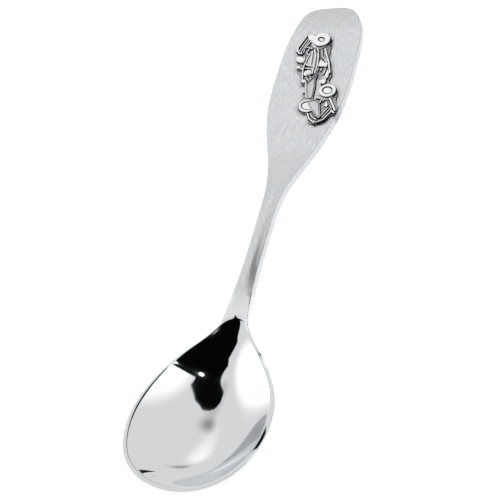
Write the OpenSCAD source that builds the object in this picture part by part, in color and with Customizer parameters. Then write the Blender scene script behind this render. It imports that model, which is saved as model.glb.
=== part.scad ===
// Child's metal spoon: a one-piece stamped blank with a broad shallow bowl, a slim neck and a flat
// blade-shaped handle, and a small cast racing-car emblem soldered to the handle's top.
// The spoon lies on its bowl and its blade. +X runs from the bowl to the handle's end, +Z is up,
// and the origin is under the middle of the spoon's length.

/* [Lengths] */
// Length of the bowl, from its tip to the neck
bowl_l = 53.2; // [47:0.1:62]
// Distance from the bowl's tip to its widest place
widest_l = 18.3; // [15:0.1:21]
// Distance from the bowl's tip to its deepest place
deepest_l = 23; // [20:0.1:28]
// Distance from the bowl's tip to where its hollow runs out in the neck
hollow_l = 51; // [44:0.1:52]
// Length of the neck
neck_l = 25.8; // [18:0.1:38]
// Length over which the handle widens to the blade
flare_l = 50.1; // [44:0.1:62]
// Length of the full-width blade at the handle's end
blade_l = 22.9; // [21:0.1:32]
// Length over which the sides round in to the handle's end
round_l = 28.3; // [20:0.1:34]

/* [Widths] */
// Width of the bowl
bowl_w = 35.3; // [30:0.1:42]
// Width of the neck where it leaves the bowl
root_w = 6.5; // [5:0.1:8]
// Width of the neck at its narrowest
neck_w = 4; // [3.4:0.1:5.4]
// Width of the blade
blade_w = 20.4; // [19:0.1:26]

/* [Heights] */
// Height of the bowl's rim at its widest place
rim_h = 7; // [6:0.1:9]
// Height of the rim at the bowl's tip
tip_h = 5.1; // [4:0.1:6.5]
// Height of the neck's upper edge
neck_h = 4.6; // [3.8:0.1:6.5]
// How far the handle's end bends up
end_lift = 1.4; // [0:0.1:2.5]
// How much higher the middle of the neck is than its edges
neck_crown = 0.5; // [0.1:0.1:0.7]

/* [Thicknesses] */
// Metal thickness at the bottom of the bowl
bowl_t = 1.1; // [0.8:0.1:1.6]
// Height of the bowl's rim edge
rim_t = 0.9; // [0.8:0.1:1.4]
// Width of the flat lip round the bowl
lip_w = 0.8; // [0.7:0.1:1.3]
// Thickness of the neck
neck_t = 2; // [1.6:0.1:2.8]
// Thickness of the blade
blade_t = 1.8; // [1.4:0.1:2.4]
// Radius that breaks the edges
edge_r = 0.3; // [0.2:0.05:0.35]

/* [Emblem] */
// Length of the emblem along the handle
emblem_l = 33; // [28:0.5:34]
// Width of the emblem's box across the handle
emblem_w = 15.5; // [13:0.5:16.5]
// Height of the relief over its flat back
relief_h = 1; // [0.9:0.1:1.8]
// Distance from the emblem's middle to the handle's end
emblem_back = 23.75; // [22.5:0.25:26]
// How far the emblem's middle sits to the right of the handle's middle
emblem_side = 1.2; // [0:0.1:1.4]
// Thickness of the solder under the emblem
solder_t = 0.12; // [0.08:0.01:0.2]

/* [Hidden] */
spoon_l = bowl_l + neck_l + flare_l + blade_l;
flare_x = bowl_l + neck_l;
blade_x = flare_x + flare_l;
round_x = spoon_l - round_l;

// Depth that is ground off under the blade and the bowl, so that the spoon stands level
ground_t = 0.1;
// Gap between the flat lip and the broken edge, along the handle
land_w = 0.25;
// Side of the block that grinds the underside away, in spoon lengths
block_share = 2;

// Places where the shape changes, as shares of the stretch that they lie in
taper_share = 0.722;
narrow_share = 0.7;
drop_from_share = 0.588;
drop_to_share = 0.942;
slope_from_share = 0.977;
slope_to_share = 0.625;
lift_share = 0.247;
taper_x = taper_share * bowl_l;
narrow_x = bowl_l + narrow_share * neck_l;
drop_x = [drop_from_share * bowl_l, drop_to_share * bowl_l];
slope_x = [bowl_l + slope_from_share * neck_l, flare_x + slope_to_share * flare_l];
lift_x = spoon_l - lift_share * round_l;

// How much flatter the bowl's wall gets towards its lip
flare_out_share = 0.1;

// Powers that shape the curves
tip_fullness = 0.36;
tip_power = 4.5;
tail_power = 3.4;
side_power = 4.1;
corner_power = 4.1;
hollow_tip_power = 5;
hollow_neck_power = 2.2;
hollow_end_power = 1.6;
crowd_power = 1.6;
ring_power = 1.35;

// Counts of stations along one side, and of rings across the top and the underside
tip_steps = 12;
side_steps = 46;
end_steps = 12;
rings = 7;
stations = tip_steps + side_steps + end_steps;
around = 2 * stations;

// Soft step from 0 to 1, with no slope or bend at either end
function clamp(t) = min(1, max(0, t));
function ease(t) = let (c = clamp(t)) c * c * c * (c * (6 * c - 15) + 10);
function ramp(x, a, b) = ease((x - a) / (b - a));

// Share of the bowl's full width at x, squared, for an outline drawn in by inset
function tip_k(x, inset) = (widest_l - x) / (widest_l - inset);
function bulge(x, inset) =
    x < widest_l
    ? let (k = min(1, tip_k(x, inset))) (1 - k * k) * (1 + tip_fullness * k * k)
    : let (t = clamp((x - widest_l) / (bowl_l - widest_l))) pow(1 - t * t, tail_power);

// Half width of the neck and blade by themselves
function handle_half(x) =
    root_w / 2
    + (neck_w - root_w) / 2 * ramp(x, taper_x, narrow_x)
    + (blade_w - neck_w) / 2 * ramp(x, flare_x, blade_x);

// Half width of the whole outline at x, drawn in by inset
function end_factor(x, inset) =
    let (t = clamp((x - round_x) / (round_l - inset))) pow(1 - pow(t, side_power), 1 / corner_power);
function half_w(x, inset) =
    let (b = bulge(x, inset),
         bowl_half = bowl_w / 2 - inset,
         arm_half = x < widest_l ? 0 : handle_half(x) - inset)
    sqrt(max(0, bowl_half * bowl_half * b + arm_half * arm_half * (1 - b))) * end_factor(x, inset);

// Height of the upper edge at x. The tip's height follows its share k of the way to the widest place
function lift_at(x) = end_lift * pow(max(0, x - lift_x) / (spoon_l - lift_x), 2);
function edge_z(x, inset) =
    rim_h
    - (rim_h - tip_h) * pow(clamp(tip_k(x, inset)), tip_power)
    + (neck_h - rim_h) * ramp(x, drop_x[0], drop_x[1])
    + (blade_t - neck_h) * ramp(x, slope_x[0], slope_x[1])
    + lift_at(x);

// Height of the side edge: the rim's, then the neck's, then the blade's with what is ground off
function edge_t(x) =
    rim_t
    + (neck_t - rim_t) * ramp(x, drop_x[0], bowl_l)
    + (blade_t + ground_t - neck_t) * ramp(x, slope_x[0], slope_x[1]);

// Width of the flat lip at x
function lip_at(x) = lip_w + (edge_r + land_w - lip_w) * ramp(x, drop_x[0], bowl_l);

// Share of its full depth that the hollow has along the middle, at x
function hollow(x, inset) =
    x < deepest_l
    ? 1 - pow(clamp((deepest_l - x) / (deepest_l - inset)), hollow_tip_power)
    : pow(1 - pow(clamp((x - deepest_l) / (hollow_l - deepest_l)), hollow_neck_power), hollow_end_power);

// 1 along the middle and 0 at the outline, at x, y
function middle(x, y, inset) =
    let (w = half_w(x, inset))
    w > 0 ? 1 - y * y / (w * w) : 0;

// How far the hollow lies under the edge at x, y, where deep is its full depth there
function dish(x, y, inset, deep) =
    let (share = hollow(x, inset) * middle(x, y, inset))
    deep * share * (1 - flare_out_share * (1 - share));
function crown(x, y, inset) =
    neck_crown * ramp(x, drop_x[1], narrow_x) * (1 - ramp(x, flare_x, blade_x)) * middle(x, y, inset);
function top_z(x, y, inset) =
    let (z = edge_z(x, inset))
    z - dish(x, y, inset, z - bowl_t) + crown(x, y, inset);
function under_z(x, y, inset) =
    let (z = edge_z(x, inset) - edge_t(x))
    z - dish(x, y, inset, z + ground_t);

// Stations along one side: crowded round the tip, even along the side, crowded at the end's corners
function station_x(i, inset) =
    i <= tip_steps
    ? widest_l - (widest_l - inset) * cos(90 * i / tip_steps)
    : i <= tip_steps + side_steps
    ? widest_l + (round_x - widest_l) * (i - tip_steps) / side_steps
    : let (a = 90 * pow((i - tip_steps - side_steps) / end_steps, crowd_power))
      round_x + (round_l - inset) * pow(sin(a), 2 / side_power);
function station_y(i, inset) =
    i == 0 || i == stations ? 0
    : half_w(station_x(i, inset), inset);

// A point of the outline, counted all the way round: side is 1 on the left and -1 on the right
function along(i) = i <= stations ? i : around - i;
function side(i) = i <= stations ? 1 : -1;
function spine_x(i) = station_x(min(max(along(i), tip_steps), tip_steps + side_steps), 0);
function ring_share(j) = 1 - pow(1 - j / rings, ring_power);
function ring_point(i, j, inset, upper) =
    let (s = ring_share(j),
         x = spine_x(i) + s * (station_x(along(i), inset) - spine_x(i)),
         y = s * side(i) * station_y(along(i), inset))
    [x - spoon_l / 2, y, upper ? top_z(x, y, inset) : under_z(x, y, inset)];
function edge_point(i, inset, drop) =
    let (x = station_x(along(i), inset))
    [x - spoon_l / 2, side(i) * station_y(along(i), inset), edge_z(x, inset) - drop];
function edge_row(i) =
    let (e = edge_t(station_x(along(i), 0)), r = edge_r, b = edge_r * (1 - cos(45)))
    [[r, 0], [b, b], [0, r], [0, e - r], [b, e - b]];
function top_inset(i) = lip_at(station_x(along(i), 0));

// Points: the spine, the rings of the top, the edge, the rings of the underside, and its spine
spine_count = side_steps + 1;
edge_rows = 5;
bands = rings + edge_rows + rings;
body_points = concat(
    [for (m = [0 : side_steps]) ring_point(tip_steps + m, 0, top_inset(tip_steps + m), true)],
    [for (j = [1 : rings], i = [0 : around - 1]) ring_point(i, j, top_inset(i), true)],
    [for (j = [0 : edge_rows - 1], i = [0 : around - 1])
        let (p = edge_row(i)[j]) edge_point(i, p[0], p[1])],
    [for (j = [rings : -1 : 1], i = [0 : around - 1]) ring_point(i, j, edge_r, false)],
    [for (m = [0 : side_steps]) ring_point(tip_steps + m, 0, edge_r, false)]);
function spine_index(i) = min(max(along(i % around) - tip_steps, 0), side_steps);
function ring_index(row, i) = spine_count + row * around + i % around;
last_row = bands - 1;
under_spine = spine_count + bands * around;
body_faces = concat(
    [for (i = [0 : around - 1])
        [spine_index(i), ring_index(0, i), ring_index(0, i + 1)]],
    [for (i = [0 : around - 1]) if (spine_index(i) != spine_index(i + 1))
        [spine_index(i), ring_index(0, i + 1), spine_index(i + 1)]],
    [for (row = [0 : last_row - 1], i = [0 : around - 1])
        [ring_index(row, i), ring_index(row + 1, i), ring_index(row + 1, i + 1)]],
    [for (row = [0 : last_row - 1], i = [0 : around - 1])
        [ring_index(row, i), ring_index(row + 1, i + 1), ring_index(row, i + 1)]],
    [for (i = [0 : around - 1])
        [ring_index(last_row, i), under_spine + spine_index(i), ring_index(last_row, i + 1)]],
    [for (i = [0 : around - 1]) if (spine_index(i) != spine_index(i + 1))
        [ring_index(last_row, i + 1), under_spine + spine_index(i), under_spine + spine_index(i + 1)]]);

// Bowl, neck and handle: one blank, its underside ground level where the spoon stands
module spoon_body() {
    block = block_share * spoon_l;
    color("silver")
    difference() {
        polyhedron(points = body_points, faces = body_faces);
        translate([-block / 2, -block / 2, -block]) cube(block);
    }
}

// Shapes of the emblem, as shares of its length and width from its middle: the first number runs
// towards the bowl, the second to the left. The car is seen from its front right, nose to the bowl.
floor_share = [[-0.37, 0.30], [-0.25, 0.36], [-0.15, 0.34], [-0.08, 0.28], [0.03, 0.25], [0.07, 0.17],
    [0.22, 0.07], [0.30, -0.03], [0.41, -0.16], [0.42, -0.24], [0.27, -0.21], [0.20, -0.12], [0.10, -0.12],
    [0.07, -0.20], [-0.01, -0.22], [-0.08, -0.20], [-0.23, -0.08], [-0.32, 0.00], [-0.37, 0.12]];
nose_share = [[-0.01, 0.10], [0.07, 0.16], [0.22, 0.06], [0.40, -0.17], [0.40, -0.23], [0.26, -0.19],
    [0.18, -0.08], [0.02, -0.06]];
engine_share = [[-0.36, 0.25], [-0.22, 0.23], [-0.06, 0.15], [0.02, 0.09], [-0.08, 0.05], [-0.22, 0.09],
    [-0.36, 0.16]];
pod_share = [[-0.35, 0.09], [-0.20, 0.02], [-0.11, 0.02], [-0.09, -0.15], [-0.13, -0.16], [-0.24, -0.06],
    [-0.34, 0.03]];
vane_share = [[-0.07, -0.20], [0.00, -0.13], [0.06, -0.11], [0.09, -0.17], [0.07, -0.20], [0.00, -0.22]];
wing_share = [[-0.48, 0.37], [-0.33, 0.47], [-0.27, 0.42], [-0.27, 0.35], [-0.40, 0.28]];
near_plate_share = [[-0.49, 0.38], [-0.47, 0.25], [-0.44, 0.19], [-0.39, 0.20], [-0.42, 0.29]];
far_plate_share = [[-0.34, 0.48], [-0.29, 0.49], [-0.25, 0.42], [-0.25, 0.31], [-0.28, 0.32], [-0.28, 0.40]];
front_wing_share = [[0.26, -0.27], [0.40, -0.22], [0.44, -0.10], [0.50, -0.18], [0.48, -0.28],
    [0.44, -0.36], [0.38, -0.42], [0.40, -0.48], [0.38, -0.50], [0.24, -0.40]];

// Heights of the emblem's levels, as shares of the relief's height
floor_level_share = 0.3;
wing_level_share = 0.55;
pod_level_share = 0.65;
nose_level_share = 0.8;
hub_level_share = 0.9;

// Places of the wheels, helmet and mirrors, as shares like the outlines above
rear_near_share = [-0.40, 0.08];
front_near_share = [0.15, -0.27];
rear_far_share = [-0.20, 0.37];
front_far_share = [0.30, 0.01];
helmet_share = [-0.045, 0.19];
mirror_share = [[-0.11, 0.34], [0.045, 0.20]];

// Sizes of the emblem's small parts
wheel_r = 2.6;
far_wheel_r = 1.5;
hub_r = 0.9;
hub_depth = 0.3;
helmet_r = 1;
mirror_r = 0.5;
bar_w = 0.45;
slot_w = 0.3;
// The wheels are drawn turned away: how much their ovals are squeezed, and which way they lean
oval_share = 0.68;
lean = 53;
// How far the tread shows beside a wheel's face, in wheel radii
tread_share = [0.42, 0.3];
solder_set_back_share = 0.92;

emblem_x = spoon_l / 2 - emblem_back;
function on_emblem(p) = [-p[0] * emblem_l, p[1] * emblem_w];
module emblem_frame(z) {
    translate([emblem_x, -emblem_side, z]) children();
}
module level(outline, share) {
    linear_extrude(height = share * relief_h) polygon([for (p = outline) on_emblem(p)]);
}
module oval(share, r, height_share, shift) {
    p = on_emblem(share);
    translate([p[0] - shift[0] * r, p[1] + shift[1] * r])
    rotate(lean)
    scale([1, oval_share, 1])
    cylinder(r = r, h = height_share * relief_h, $fn = 48);
}
module wheel(share, r) {
    difference() {
        union() {
            oval(share, r, pod_level_share, tread_share);
            oval(share, r, hub_level_share, [0, 0]);
        }
        p = on_emblem(share);
        translate([p[0], p[1], hub_level_share * relief_h - hub_depth])
        rotate(lean)
        scale([1, oval_share, 1])
        cylinder(r = hub_r * r / wheel_r, h = relief_h, $fn = 32);
    }
}
module bar(from_share, to_share, width, height_share, base_share) {
    a = on_emblem(from_share);
    b = on_emblem(to_share);
    translate([a[0], a[1], base_share * relief_h])
    rotate(atan2(b[1] - a[1], b[0] - a[0]))
    translate([0, -width / 2, 0])
    cube([norm(b - a), width, (height_share - base_share) * relief_h]);
}

// Rear wing with two slots through its plane, between its end plates
module rear_wing() {
    difference() {
        level(wing_share, wing_level_share);
        bar([-0.45, 0.37], [-0.34, 0.45], slot_w, 1, floor_level_share);
        bar([-0.41, 0.34], [-0.30, 0.41], slot_w, 1, floor_level_share);
    }
    level(near_plate_share, pod_level_share);
    level(far_plate_share, pod_level_share);
}

// Front wing with its slats and end plate
module front_wing() {
    level(front_wing_share, floor_level_share);
    bar([0.30, -0.35], [0.43, -0.27], bar_w, wing_level_share, 0);
    bar([0.33, -0.39], [0.46, -0.31], bar_w, wing_level_share, 0);
    bar([0.25, -0.39], [0.39, -0.49], bar_w, pod_level_share, 0);
    bar([0.40, -0.09], [0.49, -0.19], bar_w, wing_level_share, 0);
}

// Cast relief of an open-wheel racing car
module racing_car_emblem() {
    h = on_emblem(helmet_share);
    color("lightgray")
    emblem_frame(blade_t + solder_t) {
        level(floor_share, floor_level_share);
        level(nose_share, nose_level_share);
        level(engine_share, nose_level_share);
        level(pod_share, pod_level_share);
        level(vane_share, wing_level_share);
        rear_wing();
        front_wing();
        wheel(rear_near_share, wheel_r);
        wheel(front_near_share, wheel_r);
        wheel(rear_far_share, far_wheel_r);
        wheel(front_far_share, wheel_r);
        bar([0.17, -0.10], [0.19, -0.24], bar_w, pod_level_share, 0);
        bar([0.24, -0.17], [0.18, -0.25], bar_w, pod_level_share, 0);
        for (m = mirror_share) {
            p = on_emblem(m);
            translate(p) cylinder(r = mirror_r, h = wing_level_share * relief_h, $fn = 24);
            bar(m, helmet_share, bar_w, wing_level_share, 0);
        }
        intersection() {
            translate([h[0], h[1], relief_h - helmet_r]) sphere(r = helmet_r, $fn = 32);
            translate([h[0] - helmet_r, h[1] - helmet_r]) cube(2 * helmet_r);
        }
    }
}

// Solder between the handle and the emblem's back, a little smaller than the car's floor
module solder_film() {
    color("dimgray")
    emblem_frame(blade_t)
    linear_extrude(height = solder_t)
    polygon([for (p = floor_share) solder_set_back_share * on_emblem(p)]);
}

spoon_body();
racing_car_emblem();
solder_film();
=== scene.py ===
import math

import bmesh
import bpy
from mathutils import Matrix, Vector
from mathutils.kdtree import KDTree


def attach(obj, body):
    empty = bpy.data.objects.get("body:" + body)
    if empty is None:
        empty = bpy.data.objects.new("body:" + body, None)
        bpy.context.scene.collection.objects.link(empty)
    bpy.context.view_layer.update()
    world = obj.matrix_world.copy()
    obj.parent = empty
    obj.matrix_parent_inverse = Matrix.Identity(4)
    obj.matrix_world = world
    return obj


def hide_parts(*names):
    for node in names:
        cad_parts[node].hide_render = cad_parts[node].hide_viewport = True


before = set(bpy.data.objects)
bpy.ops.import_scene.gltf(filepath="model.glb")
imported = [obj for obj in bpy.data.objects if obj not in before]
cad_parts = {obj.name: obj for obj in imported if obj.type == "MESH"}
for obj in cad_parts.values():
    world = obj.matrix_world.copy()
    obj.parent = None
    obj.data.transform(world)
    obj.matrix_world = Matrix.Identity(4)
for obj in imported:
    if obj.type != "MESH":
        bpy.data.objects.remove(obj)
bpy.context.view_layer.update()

# Spoon body. One blank of stainless steel, stamped to shape: a broad shallow bowl, a slim neck
# and a flat blade, with a mirror-polished bowl and a handle brushed lengthways. Sizes are in
# millimetres from the tip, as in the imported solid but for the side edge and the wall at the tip.
MM = 0.001

# Lengths
BOWL_L = 53.2
WIDEST_L = 18.3
DEEPEST_L = 23
HOLLOW_L = 51
NECK_L = 25.8
FLARE_L = 50.1
BLADE_L = 22.9
ROUND_L = 28.3

# Widths
BOWL_W = 35.3
ROOT_W = 6.5
NECK_W = 4
BLADE_W = 20.4

# Heights
RIM_H = 7
TIP_H = 5.1
NECK_H = 4.6
END_LIFT = 1.4
NECK_CROWN = 0.5

# Thicknesses, the lip, the side edge's radius, and the depth that is ground off underneath
BOWL_T = 1.1
RIM_T = 0.9
NECK_T = 2
BLADE_T = 1.8
LIP_W = 0.8
LIP_GAP = 0.2
EDGE_R = 0.15
GROUND = 0.1

# Places along the spoon where its shape changes
SPOON_L = BOWL_L + NECK_L + FLARE_L + BLADE_L
FLARE_X = BOWL_L + NECK_L
BLADE_X = FLARE_X + FLARE_L
ROUND_X = SPOON_L - ROUND_L
TAPER_X = 0.722 * BOWL_L
NARROW_X = BOWL_L + 0.7 * NECK_L
DROP = (0.588 * BOWL_L, 0.942 * BOWL_L)
SLOPE = (BOWL_L + 0.977 * NECK_L, FLARE_X + 0.625 * FLARE_L)
LIFT_X = SPOON_L - 0.247 * ROUND_L

# Powers and shares that shape its curves
TIP_FULLNESS = 0.36
TAIL_POWER = 3.4
END_POWER = 4.1
TIP_DROP_POWER = 4.5
TIP_RISE = 0.2
TIP_WALL_POWER = 6
HOLLOW_NECK_POWER = 2.2
HOLLOW_END_POWER = 1.6
CROWD_POWER = 1.6
RING_POWER = 1.5
FLARE_OUT = 0.1
LIP_SOFTNESS = 0.05

# Counts of stations along one side, of rings across the top, and of steps round the side edge
TIP_STATIONS = 44
SIDE_STATIONS = 240
END_STATIONS = 40
STATIONS = TIP_STATIONS + SIDE_STATIONS + END_STATIONS
RINGS = 30
EDGE_SEGMENTS = 5


def clamp(t):
    """The nearest number to t from 0 to 1."""
    return min(1, max(0, t))


def ramp(x, start, end):
    """A soft step from 0 to 1 with no slope or bend at its ends."""
    t = clamp((x - start) / (end - start))
    return t ** 3 * (t * (6 * t - 15) + 10)


def tip_share(x, inset):
    """0 at the bowl's widest place and 1 at its tip."""
    return clamp((WIDEST_L - x) / (WIDEST_L - inset))


def bulge(x, inset):
    """Share of the bowl's full width at x, squared."""
    if x < WIDEST_L:
        k = tip_share(x, inset)
        return (1 - k * k) * (1 + TIP_FULLNESS * k * k)
    t = clamp((x - WIDEST_L) / (BOWL_L - WIDEST_L))
    return (1 - t * t) ** TAIL_POWER


def half_width(x, inset):
    """Half the width of the outline at x, drawn in by inset."""
    share = bulge(x, inset)
    bowl = BOWL_W / 2 - inset
    arm = 0
    if x >= WIDEST_L:
        arm = ROOT_W / 2 - inset
        arm += (NECK_W - ROOT_W) / 2 * ramp(x, TAPER_X, NARROW_X)
        arm += (BLADE_W - NECK_W) / 2 * ramp(x, FLARE_X, BLADE_X)
    width = math.sqrt(max(0, bowl ** 2 * share + arm ** 2 * (1 - share)))
    end = clamp((x - ROUND_X) / (ROUND_L - inset))
    return width * (1 - end ** END_POWER) ** (1 / END_POWER)


def edge_height(x, inset):
    """Height of the upper edge at x."""
    height = RIM_H - (RIM_H - TIP_H) * tip_share(x, inset) ** TIP_DROP_POWER
    height += (NECK_H - RIM_H) * ramp(x, *DROP) + (BLADE_T - NECK_H) * ramp(x, *SLOPE)
    return height + END_LIFT * (max(0, x - LIFT_X) / (SPOON_L - LIFT_X)) ** 2


def edge_thickness(x):
    """Height of the side edge at x, before the underside is ground level."""
    return (RIM_T + (NECK_T - RIM_T) * ramp(x, DROP[0], BOWL_L)
            + (BLADE_T + GROUND - NECK_T) * ramp(x, *SLOPE))


def hollow(x, inset):
    """Share of its full depth that the hollow has along the middle, at x."""
    if x < DEEPEST_L:
        k = clamp((DEEPEST_L - x) / (DEEPEST_L - inset))
        return 1 - TIP_RISE * k ** 2 - (1 - TIP_RISE) * k ** TIP_WALL_POWER
    t = clamp((x - DEEPEST_L) / (HOLLOW_L - DEEPEST_L))
    return (1 - t ** HOLLOW_NECK_POWER) ** HOLLOW_END_POWER


def middle(x, y, inset):
    """1 along the middle of the spoon and 0 at its outline."""
    width = half_width(x, inset)
    return 1 - (y / width) ** 2 if width > 0 else 0


def dish(x, y, inset):
    """Share of its greatest depth that the hollow has at x, y. The wall flares out at its lip."""
    share = hollow(x, inset) * middle(x, y, inset)
    return share * (1 - FLARE_OUT * (1 - share))


def top_height(x, y, inset):
    """Height of the upper surface, with the turn from the lip into the bowl softened."""
    height = edge_height(x, inset)
    depth = dish(x, y, inset)
    soft = depth ** 2 / (2 * LIP_SOFTNESS) if depth < LIP_SOFTNESS else depth - LIP_SOFTNESS / 2
    soft /= 1 - LIP_SOFTNESS / 2
    crown = NECK_CROWN * ramp(x, DROP[1], NARROW_X) * (1 - ramp(x, FLARE_X, BLADE_X))
    return height - (height - BOWL_T) * soft + crown * middle(x, y, inset)


def under_height(x, y, inset):
    """Height of the underside, ground level where the spoon stands."""
    height = edge_height(x, inset) - edge_thickness(x)
    return max(0, height - (height + GROUND) * dish(x, y, inset))


def station_x(number, inset):
    """Where a station lies along the spoon: crowded round the tip and the end's corners."""
    if number <= TIP_STATIONS:
        return WIDEST_L - (WIDEST_L - inset) * math.cos(math.pi / 2 * number / TIP_STATIONS)
    number -= TIP_STATIONS
    if number <= SIDE_STATIONS:
        return WIDEST_L + (ROUND_X - WIDEST_L) * number / SIDE_STATIONS
    turn = math.pi / 2 * ((number - SIDE_STATIONS) / END_STATIONS) ** CROWD_POWER
    return ROUND_X + (ROUND_L - inset) * math.sin(turn) ** (2 / END_POWER)


def outline_point(number, inset, share=1):
    """Place of a station, counted all the way round. Share is 0 at the spine, 1 at the outline."""
    left = number <= STATIONS
    along = number if left else 2 * STATIONS - number
    spine = station_x(min(max(along, TIP_STATIONS), TIP_STATIONS + SIDE_STATIONS), 0)
    x = station_x(along, inset)
    y = 0 if along in (0, STATIONS) else half_width(x, inset)
    return spine + share * (x - spine), share * y * (1 if left else -1)


def lip_inset(number):
    """The flat lip is wide round the bowl and almost gone along the handle."""
    x = outline_point(number, 0)[0]
    return LIP_W + (EDGE_R + LIP_GAP - LIP_W) * ramp(x, DROP[0], BOWL_L)


def top_row(number, share):
    """A station's place on a ring of the upper surface."""
    inset = lip_inset(number)
    x, y = outline_point(number, inset, share)
    return x, y, top_height(x, y, inset)


def edge_row(number, inset, drop):
    """A station's place on the side edge, inset from the outline and below the upper edge."""
    x, y = outline_point(number, inset)
    return x, y, max(0, edge_height(x, inset) - drop)


def under_row(number, share):
    """A station's place on a ring of the underside."""
    x, y = outline_point(number, EDGE_R, share)
    return x, y, under_height(x, y, EDGE_R)


def ring_share(ring):
    """How far out a ring lies: the rings crowd towards the outline."""
    return 1 - (1 - ring / RINGS) ** RING_POWER


def edge_arc(number):
    """Insets and drops of the rounded side edge, from its top to its bottom."""
    thickness = edge_thickness(outline_point(number, 0)[0])
    steps = [math.pi / 2 * step / EDGE_SEGMENTS for step in range(EDGE_SEGMENTS + 1)]
    upper = [(EDGE_R * (1 - math.sin(a)), EDGE_R * (1 - math.cos(a))) for a in steps]
    lower = [(EDGE_R * (1 - math.cos(a)), thickness - EDGE_R * (1 - math.sin(a))) for a in steps]
    return upper + lower


def put(vertex, place):
    """Moves a vertex to a place that is measured from the tip."""
    x, y, z = place
    vertex.co = Vector((x - SPOON_L / 2, y, z)) * MM


def add_row(body, edges, station, place):
    """Draws a row of edges out into the next row and puts each new vertex where place says."""
    made = bmesh.ops.extrude_edge_only(body, edges=edges)["geom"]
    for vertex in made:
        if isinstance(vertex, bmesh.types.BMVert):
            put(vertex, place(vertex[station]))
    return [edge for edge in made if isinstance(edge, bmesh.types.BMEdge)]


def finish_mesh(body, name):
    """Turns a finished bmesh into an object at the origin, with its faces outwards."""
    bmesh.ops.recalc_face_normals(body, faces=body.faces)
    mesh = bpy.data.meshes.new(name)
    body.to_mesh(mesh)
    body.free()
    mesh.shade_smooth()
    piece = bpy.data.objects.new(name, mesh)
    bpy.context.scene.collection.objects.link(piece)
    return piece


# The skin grows from the spine over the top, round the side edge and back to the spine below
MERGE_DISTANCE = 0.001 * MM
body = bmesh.new()
station = body.verts.layers.int.new("station")
first = bmesh.ops.create_circle(body, cap_ends=False, segments=2 * STATIONS, radius=1)["verts"]
for number, vertex in enumerate(first):
    vertex[station] = number
    put(vertex, top_row(number, 0))
row = list(body.edges)
for ring in range(1, RINGS + 1):
    row = add_row(body, row, station, lambda number: top_row(number, ring_share(ring)))
arcs = [edge_arc(number) for number in range(2 * STATIONS)]
for step in range(2 * EDGE_SEGMENTS + 2):
    row = add_row(body, row, station, lambda number: edge_row(number, *arcs[number][step]))
for ring in range(RINGS - 1, -1, -1):
    row = add_row(body, row, station, lambda number: under_row(number, ring_share(ring)))
bmesh.ops.remove_doubles(body, verts=body.verts, dist=MERGE_DISTANCE)
spoon = finish_mesh(body, "spoon_blank")


def linear(colour):
    """An sRGB hex colour as linear red, green, blue and alpha."""
    channels = [int(colour[i:i + 2], 16) / 255 for i in (1, 3, 5)]
    return [c / 12.92 if c <= 0.04045 else ((c + 0.055) / 1.055) ** 2.4 for c in channels] + [1]


def add_node(tree, kind, inputs=(), **settings):
    """Adds a node with its settings. An input is a value or another node's output.

    Inputs that share a name go by number. Mapping: 1 place, 2 turn, 3 size. Map Range: 1 and 2
    are the range it reads, 3 and 4 the range it gives. Mix: 0 the share of the second one, then
    2 and 3 the two numbers, or 6 and 7 the two colours.
    """
    node = tree.nodes.new(kind)
    for name, value in settings.items():
        setattr(node, name, value)
    for socket, value in dict(inputs).items():
        if isinstance(value, bpy.types.NodeSocket):
            tree.links.new(value, node.inputs[socket])
        else:
            node.inputs[socket].default_value = value
    return node


def new_material(name):
    """An empty node material, with its shader and its output joined."""
    material = bpy.data.materials.new(name)
    material.use_nodes = True
    tree = material.node_tree
    tree.nodes.clear()
    shader = add_node(tree, "ShaderNodeBsdfPrincipled", {"Metallic": 1.0})
    add_node(tree, "ShaderNodeOutputMaterial", {"Surface": shader.outputs[0]})
    return material, tree, shader


# Stainless steel: the bowl is a clean mirror, and from the neck on a satin belt has left fine
# lines along the handle that blur what it reflects. Real belt lines are under 0.1 mm wide and
# are lost at this picture's size, so they are drawn wider. The dark ring round the emblem is
# partly oxide stain and partly painted shade where the blade meets the casting. It comes from
# an attribute that is filled in once the emblem is on.
steel, tree, shader = new_material("stainless_steel")
STEEL = "#E6E8EA"
STEEL_WORN = "#CDD0D3"
# Colour of the dark ring round the emblem: oxide stain and painted shade together
OXIDE_AND_SHADE = "#4A4D52"
LINE_W = 0.2 * MM
LINE_L = 1.8 * MM
LINE_DEPTH = 0.05 * MM
LINE_STRENGTH = 0.5
CLOUD_W = 6.25 * MM
BRUSHED_FROM = -21.5 * MM
BRUSHED_TO = -17.5 * MM
SATIN = (0.26, 0.4)
MIRROR = (0.035, 0.06)
NOISE_SPREAD = (0.3, 0.7)
LINE_SPREAD = (0.35, 0.75)
place = add_node(tree, "ShaderNodeTexCoord").outputs["Object"]
along = add_node(tree, "ShaderNodeSeparateXYZ", {0: place}).outputs["X"]
brushed = add_node(tree, "ShaderNodeMapRange",
                   {0: along, 1: BRUSHED_FROM, 2: BRUSHED_TO, 3: 0.0, 4: 1.0},
                   interpolation_type="SMOOTHSTEP").outputs[0]
stretched = add_node(tree, "ShaderNodeMapping",
                     {0: place, 3: (1 / LINE_L, 1 / LINE_W, 1 / LINE_W)}).outputs[0]
grain = add_node(tree, "ShaderNodeTexNoise",
                 {"Vector": stretched, "Scale": 1.0, "Detail": 3.0}).outputs[0]
clouds = add_node(tree, "ShaderNodeTexNoise",
                  {"Vector": place, "Scale": 1 / CLOUD_W, "Detail": 2.0}).outputs[0]
satin = add_node(tree, "ShaderNodeMapRange",
                 {0: grain, 1: NOISE_SPREAD[0], 2: NOISE_SPREAD[1],
                  3: SATIN[0], 4: SATIN[1]}).outputs[0]
mirror = add_node(tree, "ShaderNodeMapRange",
                  {0: clouds, 1: NOISE_SPREAD[0], 2: NOISE_SPREAD[1],
                   3: MIRROR[0], 4: MIRROR[1]}).outputs[0]
roughness = add_node(tree, "ShaderNodeMix", {0: brushed, 2: mirror, 3: satin}).outputs[0]
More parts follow.
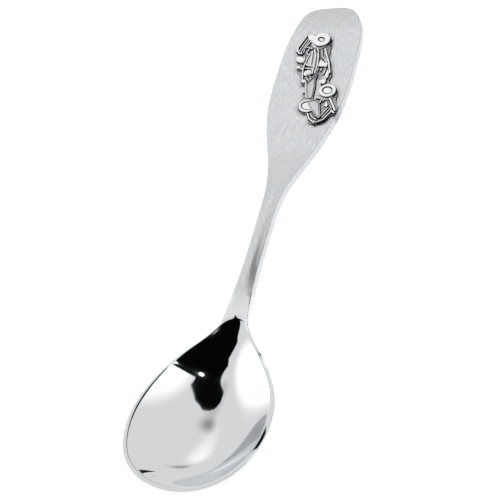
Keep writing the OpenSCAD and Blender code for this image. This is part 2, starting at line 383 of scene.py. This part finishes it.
lines = add_node(tree, "ShaderNodeMapRange",
                 {0: grain, 1: LINE_SPREAD[0], 2: LINE_SPREAD[1], 3: 0.0, 4: 1.0}).outputs[0]
worn = add_node(tree, "ShaderNodeMath", {0: lines, 1: brushed}, operation="MULTIPLY").outputs[0]
clean = add_node(tree, "ShaderNodeMix", {0: worn, 6: linear(STEEL), 7: linear(STEEL_WORN)},
                 data_type="RGBA").outputs[2]
# Darker round the emblem: oxide stain with painted contact shade laid on it
oxide_and_shade = add_node(tree, "ShaderNodeAttribute", attribute_name="oxide_and_shade").outputs["Fac"]
colour = add_node(tree, "ShaderNodeMix", {0: oxide_and_shade, 6: clean, 7: linear(OXIDE_AND_SHADE)},
                  data_type="RGBA").outputs[2]
depth = add_node(tree, "ShaderNodeMath", {0: brushed, 1: LINE_STRENGTH},
                 operation="MULTIPLY").outputs[0]
bump = add_node(tree, "ShaderNodeBump",
                {"Strength": depth, "Distance": LINE_DEPTH, "Height": grain}).outputs[0]
tree.links.new(colour, shader.inputs["Base Color"])
tree.links.new(roughness, shader.inputs["Roughness"])
tree.links.new(bump, shader.inputs["Normal"])
spoon.data.materials.append(steel)
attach(spoon, "root")
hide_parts("spoon_body")

# Solder film. Soft solder run thin between the blade and the emblem. It keeps the packed
# solid's shape. It is dull grey, with ripples about a millimetre wide where it cooled, and
# only its edge could ever be seen.
solder, tree, shader = new_material("soft_solder")
SOLDER_DARK = "#6A6C6F"
SOLDER_PALE = "#8D9093"
SOLDER_ROUGHNESS = (0.45, 0.6)
RIPPLES_PER_MM = 0.9
RIPPLE_DEPTH = 0.05 * MM
RIPPLE_STRENGTH = 0.3
place = add_node(tree, "ShaderNodeTexCoord").outputs["Object"]
ripple = add_node(tree, "ShaderNodeTexNoise",
                  {"Vector": place, "Scale": RIPPLES_PER_MM / MM, "Detail": 3.0}).outputs[0]
colour = add_node(tree, "ShaderNodeMix",
                  {0: ripple, 6: linear(SOLDER_DARK), 7: linear(SOLDER_PALE)},
                  data_type="RGBA").outputs[2]
roughness = add_node(tree, "ShaderNodeMapRange",
                     {0: ripple, 1: NOISE_SPREAD[0], 2: NOISE_SPREAD[1],
                      3: SOLDER_ROUGHNESS[0], 4: SOLDER_ROUGHNESS[1]}).outputs[0]
bump = add_node(tree, "ShaderNodeBump", {"Strength": RIPPLE_STRENGTH, "Distance": RIPPLE_DEPTH,
                                         "Height": ripple}).outputs[0]
tree.links.new(colour, shader.inputs["Base Color"])
tree.links.new(roughness, shader.inputs["Roughness"])
tree.links.new(bump, shader.inputs["Normal"])
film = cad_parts["solder_film"]
film.data.materials.clear()
film.data.materials.append(solder)

# Emblem. A flat-backed casting in white metal of an open-wheel racing car, seen from its front
# right with its nose to the bowl, and soldered to the blade. It was darkened all over and then
# polished on its high places. Heights are over its back, before the relief is pressed flatter.
EMBLEM_X = 52.3
EMBLEM_Y = -1.4
EMBLEM_STRETCH = 0.98
EMBLEM_BACK = 1.92
RELIEF = 0.8
WHEEL_LEAN = math.radians(-53)

# The floor plate, and the low foot round each raised shape, which carries the dark finish and
# painted shade of the corner there
PLATE_TOP = 0.28
FOOT_TOP = 0.34
FOOT_W = 0.16

# Keeps a sharp corner from running out into a long point when its outline is widened
BLUNT = 0.5

# The narrow groove round a panel, and how far the panel inside it is sunk
GROOVE_IN = 0.2
GROOVE_W = 0.1
GROOVE_WALL = 0.03
GROOVE_FLOOR = 0.4
PANEL_SINK = 0.05

# A rib's rounded edge as a share of its width, and how far its ends run on, in half widths
RIB_EDGE = 0.28
RIB_END = 0.6

# A wheel: the step down to its tread, its sunk rim, its hub, and its rounded edges
TREAD_STEP = 0.55
TREAD_EDGE = 0.2
RIM_SLOPE = 0.08
RIM_FLOOR = 0.45
RIM_W = 0.24
HUB_SLOPE = 0.06
HUB_SINK = 0.15
WALL_EDGE = 0.16
casting = bmesh.new()
dull = casting.verts.layers.float.new("dull")


def on_blade(point):
    """Place on the blade of a point measured from the middle, towards the bowl and to the left."""
    return Vector((EMBLEM_X - point[0] * EMBLEM_STRETCH, EMBLEM_Y + point[1], EMBLEM_BACK))


def outline_face(outline):
    """A face on the emblem's back with the given outline."""
    corners = [bmesh.ops.create_vert(casting, co=on_blade(point))["vert"][0] for point in outline]
    return bmesh.ops.contextual_create(casting, geom=corners)["faces"][0]


def oval_face(centre, length, width):
    """An oval face on the emblem's back, long along the wheels' lean."""
    ring = bmesh.ops.create_circle(casting, cap_ends=True, segments=36, radius=0.5)["verts"]
    lean = Matrix.Rotation(-WHEEL_LEAN, 3, "Z")
    bmesh.ops.scale(casting, vec=(length, width, 1), verts=ring)
    bmesh.ops.rotate(casting, cent=(0, 0, 0), matrix=lean, verts=ring)
    bmesh.ops.translate(casting, vec=on_blade(centre), verts=ring)
    return ring[0].link_faces[0]


def raise_face(face, top, dulled=0):
    """Draws a face up from the emblem's back into a solid, and returns its top face."""
    for vertex in face.verts:
        vertex[dull] = dulled
    made = bmesh.ops.extrude_face_region(casting, geom=[face])["geom"]
    lifted = [item for item in made if isinstance(item, bmesh.types.BMVert)]
    bmesh.ops.translate(casting, vec=(0, 0, top), verts=lifted)
    return next(item for item in made if isinstance(item, bmesh.types.BMFace))


def soften(edges, width):
    """Rounds edges as a casting's are."""
    bmesh.ops.bevel(casting, geom=edges, affect="EDGES", offset=width, segments=2,
                    profile=0.5, material=-1, clamp_overlap=True)


def widened(outline, by):
    """The same outline, with each corner moved outwards."""
    points = [Vector(point) for point in outline]
    turn = sum(a.x * b.y - b.x * a.y for a, b in zip(points, points[1:] + points[:1]))
    wider = []
    for before, here, after in zip(points[-1:] + points[:-1], points, points[1:] + points[:1]):
        out = [(here - before).normalized(), (after - here).normalized()]
        out = [Vector((side.y, -side.x)) * math.copysign(1, turn) for side in out]
        wider.append(here + (out[0] + out[1]) * by / max(BLUNT, 1 + out[0].dot(out[1])))
    return wider


def block(outline, top, edge=0.1, dulled=0, grooved=False):
    """A flat-topped block with a foot round it. A grooved one has a panel sunk into its top."""
    if top > FOOT_TOP:
        raise_face(outline_face(widened(outline, FOOT_W)), FOOT_TOP)
    face = raise_face(outline_face(outline), top, dulled)
    outer = list(face.edges)
    if grooved:
        down = GROOVE_FLOOR - top
        up = top - (GROOVE_FLOOR + PANEL_SINK)
        for inset, rise in (GROOVE_IN, 0), (GROOVE_WALL, down), (GROOVE_W, 0), (GROOVE_WALL, up):
            bmesh.ops.inset_region(casting, faces=[face], thickness=inset, depth=rise)
    soften(outer, edge)


def rib(path, width, top):
    """A straight-sided rib along a path of points."""
    for start, end in zip(path, path[1:]):
        ahead = (Vector(end) - Vector(start)).normalized() * width / 2
        side = ahead.orthogonal()
        start, end = Vector(start) - ahead * RIB_END, Vector(end) + ahead * RIB_END
        block([start + side, start - side, end - side, end + side], top, width * RIB_EDGE)


def boss(centre, length, width, top, edge, dulled=0):
    """A low oval lump with a rounded edge."""
    soften(list(raise_face(oval_face(centre, length, width), top, dulled).edges), edge)


def wheel(centre, tread_shift, length, width, top, wall_w):
    """A wheel turned half away: its tread behind, the tyre's wall, a sunk rim and a raised hub."""
    raise_face(oval_face(centre, length + 2 * FOOT_W, width + 2 * FOOT_W), FOOT_TOP)
    behind = (centre[0] + tread_shift[0], centre[1] + tread_shift[1])
    boss(behind, length, width, top - TREAD_STEP, TREAD_EDGE, 1)
    wall = raise_face(oval_face(centre, length, width), top)
    outer = list(wall.edges)
    down = RIM_FLOOR - top
    up = top - (RIM_FLOOR + HUB_SINK)
    for inset, rise in (wall_w, 0), (RIM_SLOPE, down), (RIM_W, 0), (HUB_SLOPE, up):
        bmesh.ops.inset_region(casting, faces=[wall], thickness=inset, depth=rise)
    soften(outer, WALL_EDGE)


# Floor plate that everything stands on
block([(-16.1, 6.1), (-13.8, 7), (-11, 7.8), (-9.7, 7.8), (-8.6, 7.1), (-8.2, 6.5), (-7.2, 7),
       (-6, 6.6), (-5, 5.7), (-4.6, 6.4), (-3.4, 6.4), (-3.1, 5.5), (-2.5, 4.8), (-0.2, 4.4),
       (1, 4.2), (1.9, 3.9), (2.4, 2.9), (4.8, 2.2), (7.2, 1.4), (8.2, 2.5), (9.5, 3), (11, 2.5),
       (12.2, 1.2), (12.6, 0), (13.6, -0.8), (15.6, -1.1), (16.4, -2.7), (16.3, -3.5),
       (15.9, -3.7), (15.7, -4.7), (14.6, -5.7), (13.2, -6.7), (13.6, -7.5), (12.6, -7.9),
       (10.7, -7.8), (8.2, -6.7), (6.7, -6.7), (5, -6.4), (3.1, -4.8), (2.7, -3.2), (1.2, -3.3),
       (-0.5, -3.7), (-2.3, -3.4), (-4, -2.8), (-7.8, -1.5), (-9.8, -0.8), (-11.8, -1.2),
       (-13.9, -0.9), (-15.4, 0.6), (-15.5, 2.4), (-15.1, 3.2), (-15.7, 4.2)], PLATE_TOP, 0.06)

# Rear wing: its blades, the plates at its ends and the braces under it
rib([(-15.3, 6), (-11.1, 7.5)], 0.34, 0.9)
rib([(-14, 5.6), (-9.9, 6.9)], 0.26, 0.8)
rib([(-13.5, 5.1), (-9.5, 6.3)], 0.26, 0.8)
rib([(-13.2, 4.5), (-10.7, 5.5)], 0.3, 0.85)
rib([(-11.2, 7.5), (-10, 7.4), (-8.9, 6.6), (-8.8, 5.9)], 0.46, 1)
block([(-15.9, 5.8), (-15.4, 4.3), (-14.8, 3.5), (-13.2, 4.1), (-13.8, 5.3), (-15.1, 5.8)], 0.75)
rib([(-13.2, 4.4), (-11.9, 3.2), (-10.6, 2.6)], 0.34, 0.85)
rib([(-11, 4.9), (-10.4, 3.6)], 0.3, 0.8)
rib([(-10.4, 4.4), (-8.8, 4.7), (-8.2, 4.1)], 0.3, 0.8)
rib([(-10.4, 5.6), (-9.2, 5.6)], 0.26, 0.75)

# Engine cover and its ribs
block([(-10.2, 2.6), (-9.2, 3.9), (-5.2, 4), (-3, 3), (-2, 1.2), (-3.8, 0.7), (-7.2, 1)], 0.5)
rib([(-8.6, 3.7), (-7, 4.1), (-5.2, 4.3)], 0.3, 0.8)
rib([(-9.4, 3.2), (-7, 2.9), (-4.1, 2.6)], 0.36, 0.95)
rib([(-9.9, 2.7), (-7.3, 1.9), (-3.8, 1.5), (-1.2, 1.5)], 0.36, 1.05)
rib([(-10.3, 2.1), (-9.2, 1.6), (-7.2, 1.1), (-4, 0.7), (-1.4, 0.9)], 0.34, 1)
rib([(-8, 5.2), (-6.8, 4.7), (-5.4, 5)], 0.26, 0.7)
rib([(-5.2, 4.3), (-4.3, 3.4), (-3.9, 1.7)], 0.34, 0.95)
rib([(-3.4, 3.8), (-3.2, 2), (-2.6, 1.7)], 0.28, 0.85)

# Side pod, its inlet and the vane in front of it
block([(-6.1, 0.4), (-4.3, 0.6), (-3.8, 0.4), (-3.5, -2), (-4.7, -1.6)], 0.8)
rib([(-10, 0), (-7.8, -0.9), (-5.2, -2), (-3.2, -2.6), (-1.2, -3.2)], 0.44, 0.9)
rib([(-9.8, 0.8), (-7.3, 0.2), (-5.8, -1), (-4.3, -1.9)], 0.28, 0.8)
rib([(-9, -0.1), (-7, -0.6), (-5.6, -1.5)], 0.22, 0.6)
rib([(-3.2, 0.3), (-1.3, 0.5)], 0.26, 0.8)
rib([(-3.1, -0.6), (-2.2, -0.5)], 0.24, 0.7)
rib([(-3.2, -1.5), (-2.3, -1.7), (-1, -1.6)], 0.24, 0.75)
block([(-2.6, -2.4), (-1.2, -3), (0.2, -3.1), (0.9, -2.6), (1.5, -2.8), (2.4, -2.7), (2.7, -2.2),
       (2, -1.3), (1.2, -1.1), (0.3, -1.5), (-0.3, -2.1), (-1.4, -2.2)], 0.85)
rib([(1, -1.4), (0.3, -2.4)], 0.2, 1)

# Nose: its panelled top, its plain side, the ribs on them and the panelled cone in front
NOSE_EDGE = 0.08
block([(-2.6, 0.5), (0.3, 1.1), (1, 1.6), (2, 2.4), (4.8, 1.8), (7.4, 1), (8, 0.1), (7.6, -0.6),
       (3.8, -0.4), (0.8, 0.1), (-1, 0)], 0.8, NOSE_EDGE, 1, True)
block([(0.6, -0.2), (3.8, -0.7), (7.7, -0.9), (8, -1.3), (7.4, -1.9), (4, -2), (1.4, -1.1)],
      0.7, NOSE_EDGE, 1)
rib([(1.4, -1.1), (4, -2)], 0.2, 0.85)
rib([(7.5, 1), (8, 0.1), (7.9, -1)], 0.22, 0.9)
rib([(2.1, 2.4), (4.8, 1.8), (7.4, 1)], 0.32, 1.1)
rib([(5.2, 2.3), (5.4, 1.4)], 0.22, 0.9)
block([(8.5, 0), (9.4, 0.2), (11.4, -1), (13.8, -2.7), (14.6, -3.7), (14.2, -4.1), (13.1, -3.9),
       (9.2, -2.8), (8.2, -1.6)], 0.95, NOSE_EDGE, 1, True)

# Cockpit: its rim, the windscreen, the arm of the far mirror and the two mirrors
rib([(-5, 4.3), (-2.8, 4.3), (0, 3.8), (1.3, 3.6)], 0.3, 0.9)
rib([(-0.2, 2.9), (0.8, 2.2), (1.2, 1.7)], 0.28, 0.9)
rib([(-0.4, 1.9), (0.6, 1.5)], 0.24, 0.85)
rib([(-2.9, 4.3), (-3.6, 5.3)], 0.36, 0.9)
boss((-3.9, 5.8), 1.1, 0.9, 0.95, 0.14)
boss((1.4, 3.1), 1.5, 1, 1.15, 0.18)

# Helmet: a squat ball, cut off flat inside the floor plate
HELMET = (-1.6, 2.75)
HELMET_R = 1.15
HELMET_SQUASH = 0.8
HELMET_UP = 0.49
HELMET_CUT = 0.05
helmet = bmesh.ops.create_uvsphere(casting, u_segments=32, v_segments=16, radius=HELMET_R)["verts"]
bmesh.ops.scale(casting, vec=(1, 1, HELMET_SQUASH), verts=helmet)
bmesh.ops.translate(casting, vec=on_blade(HELMET) + Vector((0, 0, HELMET_UP)), verts=helmet)
ball = helmet + list({face for vertex in helmet for face in vertex.link_faces})
ball += list({edge for vertex in helmet for edge in vertex.link_edges})
cut = bmesh.ops.bisect_plane(casting, geom=ball, plane_co=(0, 0, EMBLEM_BACK + HELMET_CUT),
                             plane_no=(0, 0, -1), clear_outer=True)["geom_cut"]
rim = [item for item in cut if isinstance(item, bmesh.types.BMEdge)]
bmesh.ops.contextual_create(casting, geom=rim)

# Wheels, the far one's plain lump, and the bars that carry them
wheel((-13.2, 1.6), (0.7, 0.4), 4.9, 4.3, 1.2, 1.35)
wheel((5.3, -4.1), (0.7, 0.4), 4.8, 4.1, 1.2, 0.8)
wheel((9.9, 0.4), (0.3, 0.2), 4.8, 4, 0.75, 0.6)
boss((-6.7, 5.9), 3, 1.9, 0.95, 0.3)
rib([(6.2, -0.9), (6.6, -2.3)], 0.26, 0.8)
rib([(7, -1.2), (7.7, -2.6)], 0.26, 0.8)
rib([(7.6, -3.2), (9.1, -2.9)], 0.3, 0.85)
rib([(7.5, -3.9), (8.6, -3.5)], 0.24, 0.75)

# Front wing: its flaps, the plate at its near end and the edges round the nose's tip
rib([(7.9, -5.2), (9.5, -6.1), (12.2, -7.5)], 0.5, 0.9)
rib([(12.1, -6.4), (13, -7.4)], 0.44, 0.9)
rib([(10.2, -5.7), (11.4, -6.4)], 0.26, 0.7)
rib([(11, -5.4), (13.7, -4.1)], 0.26, 0.8)
rib([(11.5, -6), (14.4, -4.6)], 0.26, 0.8)
rib([(12.4, -6.6), (15, -5.1), (15.7, -3.9)], 0.34, 0.85)
block([(8.7, -4.5), (10.2, -4.2), (10.9, -4.9), (10, -5.2)], 0.75)
rib([(12.6, -0.4), (14.6, -1.3), (16.1, -2.9)], 0.36, 0.85)
rib([(13, -1.3), (14.2, -2.1), (14.9, -3.1)], 0.28, 0.75)
rib([(15.3, -2.6), (15.8, -3.5)], 0.28, 0.7)

flatter = Matrix.Translation((0, 0, -EMBLEM_BACK))
bmesh.ops.scale(casting, vec=(1, 1, RELIEF), space=flatter, verts=casting.verts)
bmesh.ops.scale(casting, vec=(MM, MM, MM), verts=casting.verts)
emblem = finish_mesh(casting, "racing_car_casting")
emblem.data.shade_flat()

# White metal, cast, darkened and polished again. It is bright where the polishing wheel reached,
# a worn grey on its dulled faces and its plate, and nearly black on the steep sides and in the
# corner round each raised shape. There the dark finish stays, with painted shade laid over it
# that deepens lower down. The stain's patches are about half a millimetre wide.
white_metal, tree, shader = new_material("darkened_white_metal")
BRIGHT = "#FFFFFF"
WORN = ("#EEF0F1", "#BFC2C5")
PLATE = ("#E2E4E6", "#9A9DA1")
# Nearly black on the steep sides and the feet: the dark finish with painted shade, deepest low
# down
SIDE_LOW = "#2A2C30"
SIDE_HIGH = "#5E6165"
STAIN_W = 0.6 * MM
POLISH_FROM = (EMBLEM_BACK + 0.36 * RELIEF) * MM
POLISH_TO = (EMBLEM_BACK + 0.55 * RELIEF) * MM
PLATE_BELOW = (EMBLEM_BACK + (PLATE_TOP + FOOT_TOP) / 2 * RELIEF) * MM
STEEP = 0.35
LEVEL = 0.8
DARK_ROUGHNESS = 0.6
POLISHED_ROUGHNESS = 0.42
place = add_node(tree, "ShaderNodeTexCoord")
facing = add_node(tree, "ShaderNodeSeparateXYZ", {0: place.outputs["Normal"]}).outputs["Z"]
height = add_node(tree, "ShaderNodeSeparateXYZ", {0: place.outputs["Object"]}).outputs["Z"]
flat = add_node(tree, "ShaderNodeMapRange",
                {0: facing, 1: STEEP, 2: LEVEL, 3: 0.0, 4: 1.0}).outputs[0]
raised = add_node(tree, "ShaderNodeMapRange",
                  {0: height, 1: POLISH_FROM, 2: POLISH_TO, 3: 0.0, 4: 1.0}).outputs[0]
low = add_node(tree, "ShaderNodeMath", {0: height, 1: PLATE_BELOW},
               operation="LESS_THAN").outputs[0]
on_plate = add_node(tree, "ShaderNodeMath", {0: flat, 1: low}, operation="MULTIPLY").outputs[0]
polished = add_node(tree, "ShaderNodeMath", {0: flat, 1: raised}, operation="MULTIPLY").outputs[0]
stain = add_node(tree, "ShaderNodeTexNoise",
                 {"Vector": place.outputs["Object"], "Scale": 1 / STAIN_W,
                  "Detail": 3.0}).outputs[0]
dulled = add_node(tree, "ShaderNodeAttribute", attribute_name="dull").outputs["Fac"]
worn_colour = add_node(tree, "ShaderNodeMix",
                       {0: stain, 6: linear(WORN[0]), 7: linear(WORN[1])},
                       data_type="RGBA").outputs[2]
top_colour = add_node(tree, "ShaderNodeMix", {0: dulled, 6: linear(BRIGHT), 7: worn_colour},
                      data_type="RGBA").outputs[2]
# Steep faces and the feet: painted shade over the dark finish, darker the lower they stand
side_finish_and_shade = add_node(tree, "ShaderNodeMix",
                       {0: raised, 6: linear(SIDE_LOW), 7: linear(SIDE_HIGH)},
                       data_type="RGBA").outputs[2]
plate_colour = add_node(tree, "ShaderNodeMix",
                        {0: stain, 6: linear(PLATE[0]), 7: linear(PLATE[1])},
                        data_type="RGBA").outputs[2]
low_colour = add_node(tree, "ShaderNodeMix", {0: on_plate, 6: side_finish_and_shade, 7: plate_colour},
                      data_type="RGBA").outputs[2]
colour = add_node(tree, "ShaderNodeMix", {0: polished, 6: low_colour, 7: top_colour},
                  data_type="RGBA").outputs[2]
roughness = add_node(tree, "ShaderNodeMapRange",
                     {0: polished, 3: DARK_ROUGHNESS, 4: POLISHED_ROUGHNESS}).outputs[0]
tree.links.new(colour, shader.inputs["Base Color"])
tree.links.new(roughness, shader.inputs["Roughness"])
emblem.data.materials.append(white_metal)
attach(emblem, "root")
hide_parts("racing_car_emblem")

# The blade is darker for a millimetre or so round the casting: partly a stain from the casting's
# dark finish, partly painted shade where blade and casting meet.
STAIN_AND_SHADE_FROM = 30 * MM
STAIN_AND_SHADE_REACH = 1.2 * MM
STAIN_AND_SHADE_DEPTH = 0.45
STAIN_AND_SHADE_FADE = 1.5
near = KDTree(len(emblem.data.vertices))
for vertex in emblem.data.vertices:
    near.insert((vertex.co.x, vertex.co.y, 0), vertex.index)
near.balance()
oxide_and_shade = spoon.data.attributes.new("oxide_and_shade", "FLOAT", "POINT")
for vertex in spoon.data.vertices:
    if vertex.co.x > STAIN_AND_SHADE_FROM:
        distance = near.find((vertex.co.x, vertex.co.y, 0))[2]
        share = max(0, 1 - distance / STAIN_AND_SHADE_REACH)
        oxide_and_shade.data[vertex.index].value = STAIN_AND_SHADE_DEPTH * share ** STAIN_AND_SHADE_FADE

# Studio. A white table, and a white tent all round that lights the spoon softly. The bowl is a
# mirror, so black cards, a scrap of gauze and a small lamp hang over it, only to be reflected.
WHITE = "#FFFFFF"
BLACK = "#050505"
TABLE_WHITE = "#F4F4F4"
TABLE_HALF = 4
TABLE_GAP = 0.02 * MM
TABLE_LIFT = 0.56


def matt_material(name, colour, roughness):
    """A material that isn't metal and has no shine."""
    material, tree, shader = new_material(name)
    shader.inputs["Metallic"].default_value = 0
    shader.inputs["Base Color"].default_value = linear(colour)
    shader.inputs["Roughness"].default_value = roughness
    shader.inputs["Specular IOR Level"].default_value = 0
    return material, tree, shader


# Matt white paint on a board. It is lifted a little for the camera and in reflections, so that
# it reads as white there and still keeps the spoon's soft shadow.
sheet = bmesh.new()
bmesh.ops.create_grid(sheet, x_segments=1, y_segments=1, size=TABLE_HALF)
bmesh.ops.translate(sheet, vec=(0, 0, -TABLE_GAP), verts=sheet.verts)
floor = finish_mesh(sheet, "table")
table, tree, shader = matt_material("white_table", TABLE_WHITE, 0.9)
path = add_node(tree, "ShaderNodeLightPath")
seen = add_node(tree, "ShaderNodeMath",
                {0: path.outputs["Is Camera Ray"], 1: path.outputs["Is Glossy Ray"]},
                operation="MAXIMUM").outputs[0]
seen = add_node(tree, "ShaderNodeMath", {0: seen, 1: path.outputs["Is Transmission Ray"]},
                operation="MAXIMUM").outputs[0]
lift = add_node(tree, "ShaderNodeMath", {0: seen, 1: TABLE_LIFT}, operation="MULTIPLY").outputs[0]
shader.inputs["Emission Color"].default_value = linear(WHITE)
tree.links.new(lift, shader.inputs["Emission Strength"])
floor.data.materials.append(table)

# Black cards, faced with felt. Real ones would be as black in every reflection: these are full
# black in the first one, and faint where they have gone from wall to wall of the bowl.
SECOND_REFLECTION = 0.3
felt, tree, shader = matt_material("black_felt", BLACK, 1.0)
bounces = add_node(tree, "ShaderNodeLightPath").outputs["Ray Depth"]
cover = add_node(tree, "ShaderNodeMapRange",
                 {0: bounces, 1: 1.0, 2: 2.0, 3: 1.0, 4: SECOND_REFLECTION}).outputs[0]
tree.links.new(cover, shader.inputs["Alpha"])


def hang(item, name, material):
    """Turns a finished bmesh into a thing of the studio that only shows in reflections."""
    hung = finish_mesh(item, name)
    hung.data.materials.append(material)
    hung.visible_camera = False
    hung.visible_diffuse = False
    hung.visible_shadow = False


def cut_card(name, height, outline, corner):
    """A level card with rounded corners, in millimetres from the middle of the spoon."""
    card = bmesh.new()
    corners = [bmesh.ops.create_vert(card, co=(x * MM, y * MM, height * MM))["vert"][0]
               for x, y in outline]
    bmesh.ops.contextual_create(card, geom=corners)
    bmesh.ops.bevel(card, geom=corners, affect="VERTICES", offset=corner * MM, segments=3,
                    profile=0.5, material=-1, clamp_overlap=True)
    hang(card, name, felt)


cut_card("lower_black_card", 17,
         [(-41.3, -0.8), (-31.5, -0.8), (-27.8, 0.2), (-20.4, 5.2), (-15.2, 7), (-19, 6.6),
          (-20.3, 9.9), (-23.4, 11.8), (-36.9, 6), (-41, 2.2)], 0.3)
cut_card("upper_black_card", 52,
         [(-40, -11), (-36.8, -9.5), (-36.1, -7.7), (-31.5, -1.7), (-28.7, 1.7), (-25.5, 7.4),
          (-21.8, 13), (-19.4, 19.8), (-18.1, 26.6), (-19.8, 31), (-24.6, 31.6), (-30.5, 21.5),
          (-40, 0)], 1)
cut_card("neck_black_card", 30, [(-2, -12), (15, -12), (11, 7), (-2, 9)], 1)

# A scrap of black gauze beside the lower card, thickest in its middle, leaves a soft grey smudge
# in the bowl.
GAUZE = (-39.7 * MM, 10.2 * MM, 20 * MM)
GAUZE_SIZE = (4.4 * MM, 2.4 * MM)
GAUZE_TURN = math.radians(59)
GAUZE_COVER = 0.62
gauze, tree, shader = matt_material("black_gauze", BLACK, 1.0)
place = add_node(tree, "ShaderNodeTexCoord").outputs["Object"]
local = add_node(tree, "ShaderNodeMapping",
                 {0: place, 1: GAUZE, 2: (0, 0, GAUZE_TURN), 3: (*GAUZE_SIZE, 1)},
                 vector_type="TEXTURE").outputs[0]
reach = add_node(tree, "ShaderNodeVectorMath", {0: local}, operation="LENGTH").outputs["Value"]
cover = add_node(tree, "ShaderNodeMapRange", {0: reach, 1: 0.0, 2: 1.0, 3: GAUZE_COVER, 4: 0.0},
                 interpolation_type="SMOOTHSTEP").outputs[0]
tree.links.new(cover, shader.inputs["Alpha"])
scrap = bmesh.new()
turned = Matrix.Rotation(GAUZE_TURN, 3, "Z")
bmesh.ops.create_circle(scrap, cap_ends=True, segments=36, radius=1)
bmesh.ops.scale(scrap, vec=(*GAUZE_SIZE, 1), verts=scrap.verts)
bmesh.ops.rotate(scrap, cent=(0, 0, 0), matrix=turned, verts=scrap.verts)
bmesh.ops.translate(scrap, vec=GAUZE, verts=scrap.verts)
hang(scrap, "scrap_of_gauze", gauze)

# A small bare lamp just under the lower card. The bowl shows it as a white sparkle.
LAMP = Vector((-39.9, 2.2, 16.8)) * MM
LAMP_R = 0.25 * MM
LAMP_GLOW = 14
bulb, tree, shader = new_material("bare_lamp")
shader.inputs["Metallic"].default_value = 0
shader.inputs["Emission Color"].default_value = linear(WHITE)
shader.inputs["Emission Strength"].default_value = LAMP_GLOW
lamp = bmesh.new()
bmesh.ops.create_uvsphere(lamp, u_segments=24, v_segments=12, radius=LAMP_R)
bmesh.ops.translate(lamp, vec=LAMP, verts=lamp.verts)
hang(lamp, "lamp", bulb)

# White tent. It glows evenly, with brighter patches where its lamps stand behind the cloth and
# dark ones where it is open. Straight up is the middle of the map that places them, and the
# horizon is the circle of radius 1. The camera sees plain white.
TENT = 0.82
LAMPLIT = 1.35
HALF_LIT = 1.15
OPENING = 0.03
JUST_OVER_ONE = 1.0001
world = bpy.data.worlds.new("studio")
bpy.context.scene.world = world
world.use_nodes = True
tree = world.node_tree
tree.nodes.clear()
ray = add_node(tree, "ShaderNodeTexCoord").outputs["Generated"]
height = add_node(tree, "ShaderNodeSeparateXYZ", {0: ray}).outputs["Z"]
level = add_node(tree, "ShaderNodeVectorMath", {0: ray, 1: (1, 1, 0)},
                 operation="MULTIPLY").outputs[0]
above = add_node(tree, "ShaderNodeMath", {0: height, 1: JUST_OVER_ONE},
                 operation="ADD").outputs[0]
shrink = add_node(tree, "ShaderNodeMath", {0: 1.0, 1: above}, operation="DIVIDE").outputs[0]
sky = add_node(tree, "ShaderNodeVectorMath", {0: level, "Scale": shrink},
               operation="SCALE").outputs[0]

# Each patch: its middle, its half sizes, its turn, the shares of them where its edge starts and
# ends, and its brightness
light = TENT
for middle_at, half_size, turn, inner, outer, brightness in (
        ((0.171, 0.79), (0.45, 0.3), 56, 0.6, 1.05, LAMPLIT),
        ((0.02, -0.34), (0.2, 0.2), 0, 0.2, 1.2, LAMPLIT),
        ((0.42, 0.25), (0.09, 0.16), 0, 0.2, 1.1, HALF_LIT),
        ((-0.3, -0.05), (0.24, 0.4), 0, 0.9, 1.0, OPENING),
        ((0.45, -0.8), (0.65, 0.4), 0, 0.9, 1.0, OPENING),
        ((0.75, 0.6), (0.2, 0.06), 128, 0.8, 1.0, OPENING)):
    local = add_node(tree, "ShaderNodeMapping",
                     {0: sky, 1: (*middle_at, 0), 2: (0, 0, math.radians(turn)),
                      3: (*half_size, 1)}, vector_type="TEXTURE").outputs[0]
    reach = add_node(tree, "ShaderNodeVectorMath", {0: local}, operation="LENGTH").outputs["Value"]
    inside = add_node(tree, "ShaderNodeMapRange", {0: reach, 1: inner, 2: outer, 3: 1.0, 4: 0.0},
                      interpolation_type="SMOOTHSTEP").outputs[0]
    light = add_node(tree, "ShaderNodeMix", {0: inside, 2: light, 3: brightness}).outputs[0]
path = add_node(tree, "ShaderNodeLightPath")
light = add_node(tree, "ShaderNodeMix",
                 {0: path.outputs["Is Camera Ray"], 2: light, 3: 1.0}).outputs[0]
glow = add_node(tree, "ShaderNodeBackground", {"Color": linear(WHITE), "Strength": light})
add_node(tree, "ShaderNodeOutputWorld", {"Surface": glow.outputs[0]})

# Camera. It looks down along the spoon from the right of its bowl, rolled so that the handle
# leans up to the right, with a long lens.
CAMERA_AZIMUTH = math.radians(32.5704)
CAMERA_ELEVATION = math.radians(43.2561)
CAMERA_ROLL = math.radians(-26.1598)
CAMERA_DISTANCE = 650 * MM
CAMERA_AIM = Vector((-7.896, 0, 6.907)) * MM
FOCAL_PIXELS = 2794.007
PICTURE_PIXELS = 500
SENSOR_W = 36
NEAREST = 10 * MM
FARTHEST = 50
view = Vector((math.cos(CAMERA_ELEVATION) * math.cos(CAMERA_AZIMUTH),
               math.cos(CAMERA_ELEVATION) * math.sin(CAMERA_AZIMUTH),
               -math.sin(CAMERA_ELEVATION)))
right = view.cross(Vector((0, 0, 1))).normalized()
up = right.cross(view)
across = math.cos(CAMERA_ROLL) * right + math.sin(CAMERA_ROLL) * up
upward = math.cos(CAMERA_ROLL) * up - math.sin(CAMERA_ROLL) * right
lens = bpy.data.cameras.new("camera")
lens.sensor_width = SENSOR_W
lens.lens = FOCAL_PIXELS / PICTURE_PIXELS * SENSOR_W
lens.clip_start = NEAREST
lens.clip_end = FARTHEST
camera = bpy.data.objects.new("camera", lens)
bpy.context.scene.collection.objects.link(camera)
aimed = Matrix((across, upward, -view)).transposed()
camera.matrix_world = Matrix.Translation(CAMERA_AIM - view * CAMERA_DISTANCE) @ aimed.to_4x4()
bpy.context.scene.camera = camera
bpy.context.scene.view_settings.view_transform = "Standard"
